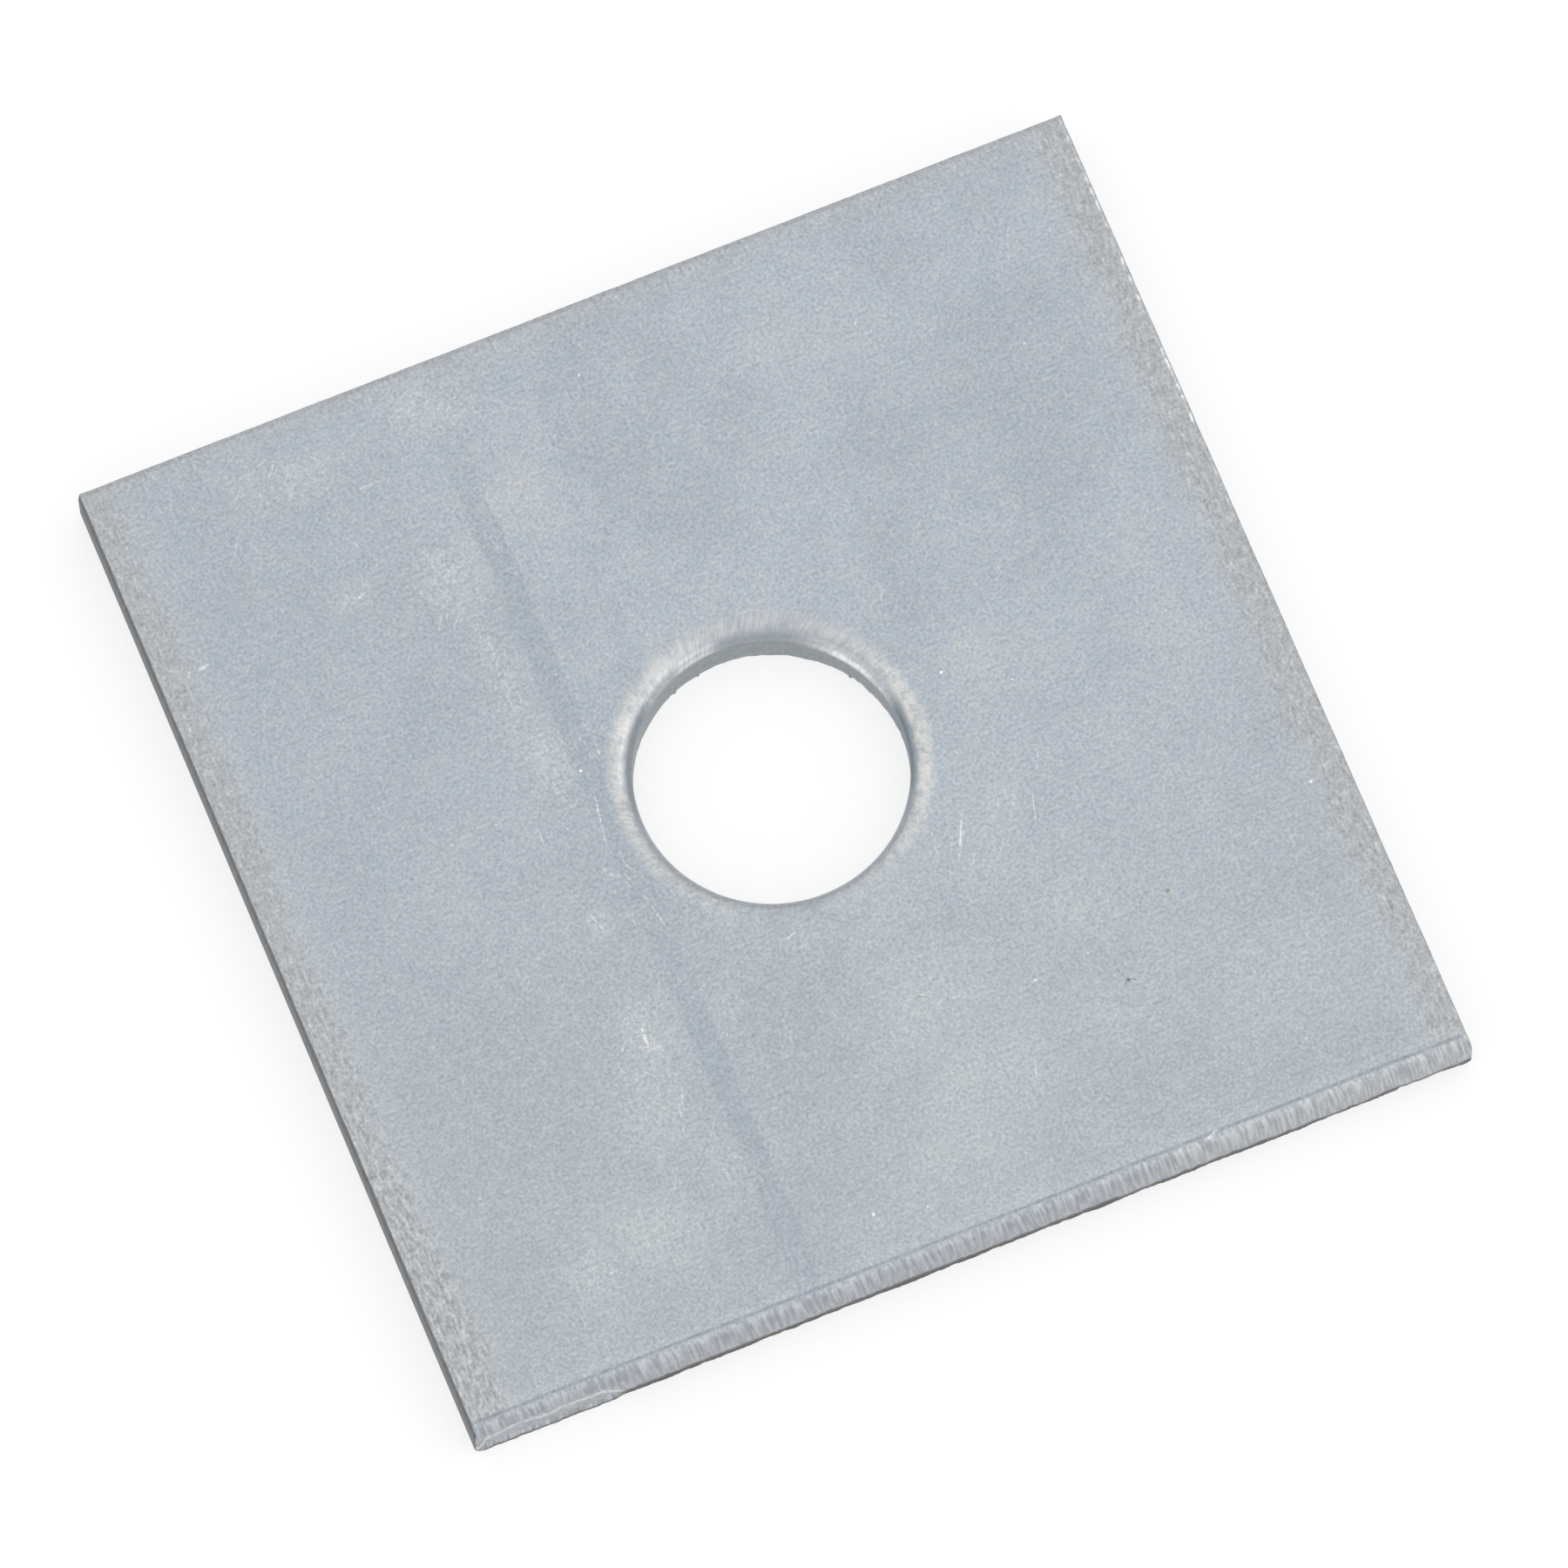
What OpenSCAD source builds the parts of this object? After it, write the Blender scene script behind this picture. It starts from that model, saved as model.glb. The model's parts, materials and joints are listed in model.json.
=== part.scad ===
// Square plate washer: a flat square of zinc-plated steel sheet with one round bolt hole.
// The strip is slit to its width, the hole is punched down through it, and the piece is cropped off.
// Each cut leaves a rolled edge on the face that the tool met first, then a smooth upright land, then a
// short fracture that slants away on the other face. The hole and the front edge are rolled at the top.
// The rear edge is the other side of the same cropping cut, so it is rolled at the bottom, and so are
// the two slit edges.
// Millimetres. +Z is up, the origin is on the hole's axis at the bottom face, the front edge is at -Y.

/* [Plate] */
// Length of each side of the square
side = 50; // [40:1:100]
// Thickness of the sheet
thickness = 3; // [2:0.1:8]

/* [Hole] */
// Diameter of the punched hole, which clears an M12 bolt
hole_d = 13; // [8:0.1:26]
// Radius of the rim that the punch rolls down into the hole
hole_roll_r = 1.05; // [0.3:0.05:1.2]
// Angle that this rim turns through before it breaks into the wall
hole_roll_angle = 74; // [30:1:85]
// Height of the fracture at the bottom of the hole
hole_break_h = 0.6; // [0.2:0.1:0.8]
// Growth of the hole's radius over its fracture
hole_break_out = 0.1; // [0.02:0.01:0.2]

/* [Cropped edges] */
// Radius of the roll along the top of the front edge and the bottom of the rear edge
crop_roll_r = 0.5; // [0.1:0.05:1]
// Angle that this roll turns through before it breaks into the wall
crop_roll_angle = 78; // [30:1:85]
// Height of the fracture on the face away from the roll
crop_break_h = 0.7; // [0.2:0.1:1]
// Distance that this fracture slants in from the wall
crop_break_in = 0.08; // [0.02:0.01:0.2]
// Width of the crease that the shear pressed along the inside of the front roll
crease_w = 0.2; // [0.1:0.05:0.5]
// Depth of that crease
crease_d = 0.025; // [0.01:0.005:0.05]

/* [Slit edges] */
// Radius of the roll along the bottom of the left and right edges
slit_roll_r = 0.5; // [0.1:0.05:1]
// Angle that this roll turns through before it breaks into the wall
slit_roll_angle = 78; // [30:1:85]
// Height of the fracture along the top of these edges
slit_break_h = 0.7; // [0.2:0.1:1]
// Distance that this fracture slants in from the wall
slit_break_in = 0.08; // [0.02:0.01:0.2]

/* [Hidden] */
$fn = 96;

zinc = [0.70, 0.74, 0.77];

// Distance that every cut runs on past the sheet
over = 1;

half = side / 2;
hole_r = hole_d / 2;

// Width and depth of an arc that leaves a face level and turns away from it through an angle
function roll_width(r, angle) = r * sin(angle);
function roll_depth(r, angle) = r * (1 - cos(angle));

// What a roll takes off a square corner. x runs outward from where the roll starts, y up from the face.
module roll_section(r, angle) {
    width = roll_width(r, angle);
    depth = roll_depth(r, angle);
    difference() {
        translate([0, -depth]) square([width + over, depth + over]);
        translate([0, -r]) circle(r);
    }
}

// The shallow round-bottomed crease that ends where the front roll starts
module crease_section() {
    groove_r = (crease_w * crease_w / 4 + crease_d * crease_d) / (2 * crease_d);
    translate([-crease_w / 2, groove_r - crease_d]) circle(groove_r);
}

// A section, drawn as above from the start of the cropped roll, run along the top of the front edge
module along_front_edge() {
    mirror([0, 1, 0])
        translate([-half - over, half - roll_width(crop_roll_r, crop_roll_angle), thickness])
            rotate([90, 0, 90])
                linear_extrude(side + 2 * over) children();
}

module front_cut() {
    along_front_edge() {
        roll_section(crop_roll_r, crop_roll_angle);
        crease_section();
    }
}

// The front edge's roll turned half round, to the bottom of the rear edge
module rear_cut() {
    translate([0, 0, thickness])
        rotate([180, 0, 0])
            along_front_edge() roll_section(crop_roll_r, crop_roll_angle);
}

module slit_cuts() {
    for (hand = [0, 1]) mirror([hand, 0, 0])
        translate([half - roll_width(slit_roll_r, slit_roll_angle), half + over, 0])
            rotate([90, 0, 0])
                linear_extrude(side + 2 * over)
                    mirror([0, 1]) roll_section(slit_roll_r, slit_roll_angle);
}

// The punched hole: a fracture that widens downward, a true bore and a rolled rim
module hole_cut() {
    translate([0, 0, -over]) cylinder(h = thickness + 2 * over, r = hole_r);
    rotate_extrude() polygon([
        [0, 0],
        [hole_r + hole_break_out, 0],
        [hole_r, hole_break_h],
        [0, hole_break_h]
    ]);
    rotate_extrude()
        translate([hole_r + roll_width(hole_roll_r, hole_roll_angle), thickness])
            mirror([1, 0]) roll_section(hole_roll_r, hole_roll_angle);
}

// Upright section from the front edge to the rear one, fractured at the front foot and the rear top
module cropped_section() {
    polygon([
        [-half + crop_break_in, 0],
        [half, 0],
        [half, thickness - crop_break_h],
        [half - crop_break_in, thickness],
        [-half, thickness],
        [-half, crop_break_h]
    ]);
}

// Upright section from the left edge to the right one, fractured along the top of both
module slit_section() {
    polygon([
        [-half, 0],
        [half, 0],
        [half, thickness - slit_break_h],
        [half - slit_break_in, thickness],
        [-half + slit_break_in, thickness],
        [-half, thickness - slit_break_h]
    ]);
}

module sheet() {
    intersection() {
        rotate([90, 0, 0]) linear_extrude(side + 2 * over, center = true) slit_section();
        rotate([90, 0, 90]) linear_extrude(side + 2 * over, center = true) cropped_section();
    }
}

module plate_washer() {
    color(zinc) difference() {
        sheet();
        slit_cuts();
        front_cut();
        rear_cut();
        hole_cut();
    }
}

plate_washer();
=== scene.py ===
import json
import math

import bpy
import numpy as np
from mathutils import Matrix, Vector
from mathutils.geometry import delaunay_2d_cdt


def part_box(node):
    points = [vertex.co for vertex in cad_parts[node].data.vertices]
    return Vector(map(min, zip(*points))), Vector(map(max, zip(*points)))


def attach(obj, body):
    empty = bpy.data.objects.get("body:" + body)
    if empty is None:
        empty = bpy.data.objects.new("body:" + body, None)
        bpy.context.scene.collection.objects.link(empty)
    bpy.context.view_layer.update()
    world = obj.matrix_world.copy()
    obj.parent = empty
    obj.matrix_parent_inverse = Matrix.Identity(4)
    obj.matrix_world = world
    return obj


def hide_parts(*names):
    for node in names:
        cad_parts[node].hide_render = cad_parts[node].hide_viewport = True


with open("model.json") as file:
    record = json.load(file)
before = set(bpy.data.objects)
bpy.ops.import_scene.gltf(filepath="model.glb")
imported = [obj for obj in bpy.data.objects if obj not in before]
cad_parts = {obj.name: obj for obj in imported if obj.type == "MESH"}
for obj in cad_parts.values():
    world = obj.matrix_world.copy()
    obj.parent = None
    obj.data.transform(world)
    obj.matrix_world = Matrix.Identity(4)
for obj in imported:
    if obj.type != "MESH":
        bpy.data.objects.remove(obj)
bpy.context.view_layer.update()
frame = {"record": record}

# Square plate washer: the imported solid's form as one fine mesh with the marks of its sheared edges, in matte
# zinc plating, on a white floor. Lengths are in millimetres until the mesh is made, in the solid's frame:
# the origin is on the hole's axis at the bottom face, +Z is up and the front edge is at -Y.
MM = 0.001

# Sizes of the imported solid
node_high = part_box("plate_washer")[1]
HALF = node_high.x / MM
THICK = node_high.z / MM
BORE = next(mount for mount in frame["record"]["mounts"] if mount["name"] == "bolt_hole")
HOLE_R = BORE["dims"]["r_mm"]

# Sections of the cuts, as the solid has them
ROLL_R = 0.5
ROLL_ANGLE = math.radians(78)
BREAK_H = 0.7
BREAK_IN = 0.08
CREASE_W = 0.2
CREASE_D = 0.025
HOLE_ROLL_R = 1.05
HOLE_ROLL_ANGLE = math.radians(74)
HOLE_BREAK_H = 0.6
HOLE_BREAK_OUT = 0.1

ROLL_W = ROLL_R * math.sin(ROLL_ANGLE)
ROLL_D = ROLL_R * (1 - math.cos(ROLL_ANGLE))
HOLE_ROLL_W = HOLE_ROLL_R * math.sin(HOLE_ROLL_ANGLE)

# Rounding of the sharp top edges, and of the corners in plan: front left, front right, rear right, rear left
ARRIS_R = 0.04
CORNER_R = (0.22, 0.08, 0.05, 0.08)

# Ringed zones of the mesh along the sides and round the hole, with the places of their rings on the flat top
RIM_W = 1.3
RIM_RINGS = (RIM_W, 1.08, 0.9, 0.78)
HOLE_RIM_R = 8.0
HOLE_RINGS = (HOLE_RIM_R, 7.86, 7.72, 7.6)

# Steps of the mesh, the shift and gap of its loose grids as shares of their spacing, the gap between marks
# and the ringed zones, and the angle from which an edge is sharp
SIDES = ("front", "right", "rear", "left")
STEP = {"front": 0.08, "right": 0.16, "rear": 0.18, "left": 0.18}
CORNER_STEP = 0.04
CORNER_REACH = 1.2
ROLL_STEPS = 12
HOLE_STEPS = 480
HOLE_ROLL_STEPS = 14
TOP_SPACING = 0.5
BOTTOM_SPACING = 2.5
GRID_SHIFT = 0.3
GRID_GAP = 0.3
MARK_GAP = 0.05
SHARP_ANGLE = math.radians(38)

# Depth of the marks that the cuts left, and how far out the front edge's ragged foot stands again
STRIA_D = 0.022
LAND_STRIA_D = 0.004
EDGE_RAG_D = 0.03
FOOT_RAG_D = 0.1
FOOT_OUT = 0.045
BREAK_ROUGH_D = 0.025
HOLE_STRIA_D = 0.016

# Faint band that a roller pressed beside the hole: its edges as x, their half widths, its depth, and its
# strength along y
BAND_X = (-8.52, -7.27)
BAND_SOFT = (0.12, 0.08)
BAND_LINES = [edge + side * soft for edge, soft in zip(BAND_X, BAND_SOFT) for side in (-1, 1)]
BAND_D = 0.012
BAND_Y = (-25.0, -11.0, -8.0, -5.0, 0.0, 4.0, 15.0, 17.5, 19.5, 23.0)
BAND_STRENGTH = (1.0, 1.0, 0.65, 0.4, 0.7, 1.0, 1.0, 0.75, 0.4, 0.0)

# Height of the sheet's own slight waves
WAVE_D = 0.002


def smooth(start, end, x):
    """0 up to start and 1 from end, with a smooth rise between them. start may be the larger of the two."""
    t = np.clip((x - start) / (end - start), 0, 1)
    return t * t * (3 - 2 * t)


def wander(knot, seed, count=4096):
    """A smooth random line from -1 to 1 with a new value at each knot. It repeats after count knots."""
    values = np.random.RandomState(seed).uniform(-1, 1, count)
    whole = np.floor(knot).astype(int)
    start = values[whole % count]
    end = values[(whole + 1) % count]
    return start + (end - start) * smooth(0, 1, knot - whole)


def roll_drop(inset, r, angle):
    """How far a roll has turned down from its face at a distance in from the wall."""
    width = r * math.sin(angle)
    reach = np.clip(width - inset, 0, width)
    return r - np.sqrt(r * r - reach * reach)


def roll_inset(height, r, angle):
    """How far in from the wall a roll stands at a height over the face that it leaves."""
    rise = np.clip(height, 0, r * (1 - math.cos(angle)))
    return r * math.sin(angle) - np.sqrt(r * r - (r - rise) ** 2)


def in_band(x, y):
    """How deep the pressed band is, from 0 to 1. Its right edge is the sharper one."""
    outer_left, inner_left, inner_right, outer_right = BAND_LINES
    across = smooth(outer_left, inner_left, x) * smooth(outer_right, inner_right, x)
    return across * np.interp(y, BAND_Y, BAND_STRENGTH)


def field_drop(x, y):
    """The pressed band and the sheet's own slight waves, as a depth under the true face."""
    waves = 2 + np.sin(0.31 * x + 0.17 * y) + np.cos(0.23 * y - 0.11 * x + 1)
    return BAND_D * in_band(x, y) + WAVE_D * waves


def in_crease(inset):
    """1 at the bottom of the crease along the front edge and 0 outside it."""
    across = (inset - ROLL_W - CREASE_W / 2) / (CREASE_W / 2)
    return np.clip(1 - across ** 2, 0, None)


def top_height(x, y):
    """Height of the top face: flat, with the front roll, its crease and the other edges' small rounding."""
    inset = y + HALF
    drop = roll_drop(inset, ROLL_R, ROLL_ANGLE) + CREASE_D * in_crease(inset) + field_drop(x, y)
    for to_arris in (HALF - x, HALF + x, HALF - y):
        drop = drop + roll_drop(to_arris - BREAK_IN, ARRIS_R, math.pi / 2)
    return THICK - drop


def graded(coarse):
    """Shares of a side's length from 0 to just under 1, with close steps near both corners."""
    at = [0.0]
    while at[-1] < HALF:
        growth = min(1, at[-1] / CORNER_REACH)
        at.append(at[-1] + CORNER_STEP + (coarse - CORNER_STEP) * growth)
    half = np.array(at) / at[-1] / 2
    return np.concatenate([half[:-1], 1 - half[:0:-1]])


SHARES = {side: graded(STEP[side]) for side in SIDES}


def loop(front, other):
    """Plan of one ring, anticlockwise from the front left corner, inset from the front and other sides."""
    low, high = other - HALF, HALF - other
    corners = np.array([(low, front - HALF), (high, front - HALF), (high, high), (low, high)])
    parts = []
    for i, side in enumerate(SIDES):
        start, end = corners[i], corners[(i + 1) % 4]
        parts.append(start + np.outer(SHARES[side], end - start))
    return np.concatenate(parts)


def rounded_corners(x, y):
    """Moves points near each corner on to arcs about one centre, so that the plan's corners are rounded."""
    signs = ((-1, -1), (1, -1), (1, 1), (-1, 1))
    for (sign_x, sign_y), r in zip(signs, CORNER_R):
        u = HALF - sign_x * x
        v = HALF - sign_y * y
        near = (u < r) & (v < r)
        inner = np.minimum(u, v)[near]
        outer = np.maximum(u, v)[near]
        turn = math.pi / 4 * (r - outer) / np.maximum(r - inner, 1e-9)
        low = r - (r - inner) * np.cos(turn)
        high = r - (r - inner) * np.sin(turn)
        first = (u <= v)[near]
        x[near] = sign_x * (HALF - np.where(first, low, high))
        y[near] = sign_y * (HALF - np.where(first, high, low))


# Point masks that the material reads
MASKS = (
    "front_roll", "crease", "land", "fracture", "facet", "hole_roll", "burnish", "rim_shade", "rim_deep",
    "gleam", "slit", "arris", "line", "pressed", "scuff", "bright", "dark", "brown",
)

# Stretch of the streaks: per millimetre, and round the hole per radian. The front edge's streaks are short
# strokes down to a distance from the crease, and long ones from there on
FIELD_FLOW = (5.5, 1.7, 2.0)
WALL_FLOW = (6.5, 0.3)
FRONT_FLOW = 5.5
FRONT_LEAN = -0.1
SHORT_STROKE = 2.2
LONG_STROKE = 0.3
STROKES_END = 0.28
HOLE_FLOW = (68.0, 68.0, 1.1)
HOLE_LEAN = 0.05

# Distance from the right side over which the crease fades out
CREASE_FADE = 1.2

# Bright diagonal tick across the crease: start, end and half width
FRONT_TICK = ((11.8, -24.64), (12.35, -24.36), 0.05)

# Where painted glints brighten the right edge: from the first y, fully from the second
GLINTS_Y = (3.0, 9.0)

# Thin painted shade line along two of the sharp edges: distance at which it ends, distance up to which it is
# full, and strength
EDGE_SHADE_LINES = {"right": (0.07, 0.03, 0.4), "rear": (0.34, 0.16, 0.25)}

# Marks that the shear left along the front edge, by x: a facet at the left and how far in its lip lies, the
# lip's height, where the fracture turns thinner and by how much, and a notch in the foot with its depth
FACET_X = (-17.2, -18.4)
FACET_IN = 0.1
LIP_X = (-25.0, -23.6, -22.8, -21.2, -20.7, -19.8, -18.4, -17.9, -17.2)
LIP_Z = (1.5, 2.0, 2.15, 1.6, 2.0, 2.1, 1.7, 1.15, 0.8)
RAGGED_BREAK_H = BREAK_H + 0.1
THIN_BREAK_X = (1.5, 6.0)
THIN_BREAK_D = 0.25
NOTCH_X = (21.2, 21.7, 22.8, 24.0)
NOTCH_D = 0.13


def crease_shift(x):
    """How far in the crease and the roll's start lie past their true line."""
    return 0.025 * wander(x / 4, 11) + 0.008 * wander(x / 0.7, 12)


def break_height(x):
    """Height of the front edge's fracture: up to the tall lip at the left, and thin on the right half."""
    facet = smooth(*FACET_X, x)
    ragged = 0.12 * wander(x / 1.6, 13) + 0.12 * wander(x / 0.35, 14)
    height = RAGGED_BREAK_H - THIN_BREAK_D * smooth(*THIN_BREAK_X, x)
    return ragged + height + facet * (np.interp(x, LIP_X, LIP_Z) - height)


def front_stria(x):
    """Depth from 0 to 1 of the upright furrows in the front edge's roll."""
    return 0.5 + 0.24 * wander(x / 0.34, 15) + 0.16 * wander(x / 0.15, 16) + 0.1 * wander(x / 1.1, 17)


class Ringed:
    """A band of the mesh: rings with the same count of points, their places, and masks for the material."""

    def __init__(self, place):
        self.place = place
        self.masks = {name: np.zeros(place.shape[:2]) for name in MASKS}
        self.flow = place * FIELD_FLOW


def outer_band():
    """The plate's edge, in rings from the top face over the edge to the bottom face."""
    roll_turn = np.linspace(0, ROLL_ANGLE, ROLL_STEPS)
    roll_at = ROLL_W - ROLL_R * np.sin(roll_turn)
    crease_at = ROLL_W + CREASE_W * np.array([1, 0.75, 0.5, 0.25])
    front_top = np.concatenate([RIM_RINGS, crease_at, roll_at])
    top_count = len(front_top)
    inward = np.linspace(1, 0, top_count) ** 2.2
    other_top = BREAK_IN + (RIM_W - BREAK_IN) * inward

    # Shares of the wall's height: fracture of the other sides, land, the front's fracture, roll underneath
    upper = 1 - BREAK_H / THICK
    lower = BREAK_H / (THICK - ROLL_D)
    under_turn = np.linspace(ROLL_ANGLE, 0, 7)
    under = ROLL_R * (1 - np.cos(under_turn)) / THICK
    shares = np.concatenate([
        np.linspace(1, upper, 6)[1:],
        np.linspace(upper, lower, 4)[1:],
        np.linspace(lower, under[0], 3)[1:],
        under[1:],
    ])
    front_wall = BREAK_IN * np.clip(1 - shares / lower, 0, 1)
    other_wall = BREAK_IN * np.clip((shares - upper) / (1 - upper), 0, 1)
    other_wall += roll_inset(shares * THICK, ROLL_R, ROLL_ANGLE)
    to_middle = np.array([0.2, 0.55, 1])
    front_foot = front_wall[-1] + (RIM_W - front_wall[-1]) * to_middle
    other_foot = other_wall[-1] + (RIM_W - other_wall[-1]) * to_middle

    front_all = np.concatenate([front_top, front_wall, front_foot])
    other_all = np.concatenate([other_top, other_wall, other_foot])
    plan = np.stack([loop(*insets) for insets in zip(front_all, other_all)])
    place = np.concatenate([plan, np.zeros(plan.shape[:2] + (1,))], axis=2)
    x, y, z = place.transpose(2, 0, 1)
    top = slice(0, top_count)
    wall = slice(top_count, top_count + len(shares))
    z[top] = top_height(x[top], y[top])
    z[wall] = shares[:, None] * z[top_count - 1]

    band = Ringed(place)
    first_roll = top_count - ROLL_STEPS
    turn = np.concatenate([np.zeros(first_roll), roll_turn])
    fall = np.concatenate([
        ROLL_R * turn,
        ROLL_R * ROLL_ANGLE + (1 - shares) * (THICK - ROLL_D),
        np.full(len(to_middle), ROLL_R * ROLL_ANGLE + THICK - ROLL_D),
    ])
    draw_front_strokes(band, fall, slice(first_roll, None))
    near_front = y[top] + HALF
    # Mask of the painted shade in the crease
    band.masks["crease"][top] = in_crease(near_front) * smooth(HALF, HALF - CREASE_FADE, x[top])
    band.masks["front_roll"][top] = smooth(ROLL_W, ROLL_W - 0.05, near_front)
    mark_front(band, top_count, wall, turn)
    mark_others(band, top_count, wall, other_all)

    # The crease wanders a little, and the corners are rounded in plan
    held = np.clip(near_front / ROLL_W, 0, 1) * smooth(RIM_W, 0.8, near_front)
    y[top] += crease_shift(x[top]) * held
    rounded_corners(x, y)
    np.clip(place[:, :, :2], -HALF, HALF, out=place[:, :, :2])
    tick = near_line(x, y, *FRONT_TICK) * (z > 0.5 * THICK)
    band.masks["bright"] = np.maximum(band.masks["bright"], tick)
    return band


def side_columns(name):
    counts = [len(SHARES[side]) for side in SIDES]
    start = sum(counts[:SIDES.index(name)])
    return slice(start, start + len(SHARES[name]))


def corner_fade(along):
    """1 along a side and 0 at its corners, where the marks of two sides would meet."""
    return smooth(HALF - 0.1, HALF - 0.7, np.abs(along))


def draw_front_strokes(band, fall, rolled):
    """Streaks down the front edge by the fall from its crease: short on its roll and long on its land."""
    columns = side_columns("front")
    fall = fall[rolled, None]
    stroke = SHORT_STROKE * np.minimum(fall, STROKES_END) + LONG_STROKE * np.maximum(fall - STROKES_END, 0)
    at = band.place[rolled, columns, 0] + FRONT_LEAN * fall
    band.flow[rolled, columns] = np.stack([FRONT_FLOW * at, stroke + 0 * at, 0 * at], axis=2)
    band.masks["land"][rolled, columns] = smooth(STROKES_END - 0.08, STROKES_END + 0.06, fall)


def mark_front(band, top_count, wall, turn):
    """Furrows in the front roll, a ragged fracture at its foot, and the masks of both."""
    columns = side_columns("front")
    x, y, z = band.place[:, columns].transpose(2, 0, 1)
    fade = corner_fade(x)

    # The roll's furrows start sharply under the crease and run out toward the land
    through = np.sin(turn) / math.sin(ROLL_ANGLE)
    strength = smooth(0.04, 0.2, through) * (1 - 0.7 * smooth(0.45, 1, through))
    depth = STRIA_D * strength[:, None] * front_stria(x[:top_count]) * fade[:top_count]
    y[:top_count] += depth * np.sin(turn)[:, None]
    z[:top_count] -= depth * np.cos(turn)[:, None]

    # The true fracture's heights are stretched to the ragged ones, and its foot is set in unevenly
    x = x[wall]
    fade = fade[wall]
    top = z[top_count - 1]
    true_z = z[wall].copy()
    height = BREAK_H + (break_height(x) - BREAK_H) * fade
    share = np.clip(1 - true_z / BREAK_H, 0, 1)
    above = np.clip((true_z - BREAK_H) / (top - BREAK_H), 0, 1)
    z[wall] = np.where(true_z < BREAK_H, true_z / BREAK_H * height, height + above * (top - height))
    facet = smooth(*FACET_X, x)
    notch = NOTCH_D * smooth(*NOTCH_X[:2], x) * smooth(*NOTCH_X[:1:-1], x)
    rough = 0.5 + 0.25 * wander(x / 1.7, 20) + 0.3 * wander(x / 0.5, 21) + 0.15 * wander(x / 0.13, 22)
    foot = notch + FOOT_RAG_D * rough - FOOT_OUT * (1 - 0.5 * facet) - BREAK_IN * facet
    foot = np.maximum(foot, -BREAK_IN)
    lip = FACET_IN * facet * np.where(share > 0, 1 - share, (1 - above) ** 3)
    ring = np.arange(len(true_z))[:, None]
    pitted = BREAK_ROUGH_D * np.sin(math.pi * share) * (1 + wander(x / 0.22 + 7.3 * ring, 23)) / 2
    land = LAND_STRIA_D * front_stria(x) * (share == 0)
    y[wall] += fade * (foot * share + pitted + land + lip)
    band.masks["front_roll"][wall, columns] = share == 0
    band.masks["fracture"][wall, columns] = smooth(1.3 * BREAK_H, BREAK_H, z[wall])
    band.masks["facet"][wall, columns] = facet * smooth(1.0, 0.8, share) * (share > 0)
    # Painted highlight along the facet's lip, carried in the bright mask
    at_lip = smooth(0.2, 0, share) * smooth(0.12, 0, above) * smooth(0.1, 0.5, facet)
    band.masks["bright"][wall, columns] = 0.75 * at_lip


def mark_others(band, top_count, wall, insets):
    """Uneven sharp edges and rough fractures at the top of the other three sides, and their masks."""
    inward = {"right": (0, -1), "rear": (1, -1), "left": (0, 1)}
    ring = np.arange(len(insets))[:, None]
    from_arris = insets[:top_count, None] - BREAK_IN
    hold_top = np.zeros((len(insets), 1))
    hold_top[:top_count] = smooth(0.35, 0, from_arris)
    stroke_along, stroke_down = WALL_FLOW
    for number, (side, (axis, sign)) in enumerate(inward.items()):
        columns = side_columns(side)
        place = band.place[:, columns]
        along = place[:, :, 1 - axis]
        height = place[:, :, 2]
        seed = 31 + 10 * number

        # The sharp edge is ragged, the fracture under it is pitted, and the wall has faint furrows
        rag = 0.5 + 0.3 * wander(along / 1.3, seed) + 0.2 * wander(along / 0.33, seed + 1)
        rise = smooth(THICK - 1.6 * BREAK_H, THICK, height)
        hold = np.maximum(hold_top, np.where(ring >= top_count, rise, 0))
        in_break = np.zeros_like(height)
        in_break[wall] = smooth(THICK - BREAK_H - 0.1, THICK - BREAK_H + 0.05, height[wall])
        in_break *= smooth(THICK, THICK - 0.12, height)
        pitted = BREAK_ROUGH_D * in_break * (1 + wander(along / 0.3 + 5.7 * ring, seed + 2)) / 2
        stria = np.zeros_like(height)
        stria[wall] = LAND_STRIA_D * (1 + wander(along[wall] / 0.25, seed + 3)) / 2
        place[:, :, axis] += sign * corner_fade(along) * (EDGE_RAG_D * rag * hold + pitted + stria)

        strokes = np.stack([stroke_along * along, stroke_down * height, 0 * height + seed], axis=2)
        band.flow[top_count:, columns] = strokes[top_count:]
        broken = smooth(THICK - BREAK_H - 0.1, THICK - BREAK_H, height[wall])
        band.masks["fracture"][wall, columns] = 0.4 * broken
        band.masks["slit"][wall, columns] = 1
        # Painted shade line along the sharp edge (mask "line")
        if side in EDGE_SHADE_LINES:
            end, full, strength = EDGE_SHADE_LINES[side]
            uneven = 0.75 + 0.25 * wander(along[:top_count] / 0.8, seed + 5)
            band.masks["line"][:top_count, columns] = strength * smooth(end, full, from_arris) * uneven
        # Painted glints in spots along the right edge's top
        if side == "right":
            spots = 0.12 + 0.88 * smooth(0.25, 0.7, wander(along[:top_count] / 0.32, seed + 4))
            glint_spots = spots * smooth(*GLINTS_Y, along[:top_count])
            at_edge = smooth(0.24, 0.14, from_arris) * smooth(0.05, 0.08, from_arris)
            band.masks["arris"][:top_count, columns] = at_edge * glint_spots


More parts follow.
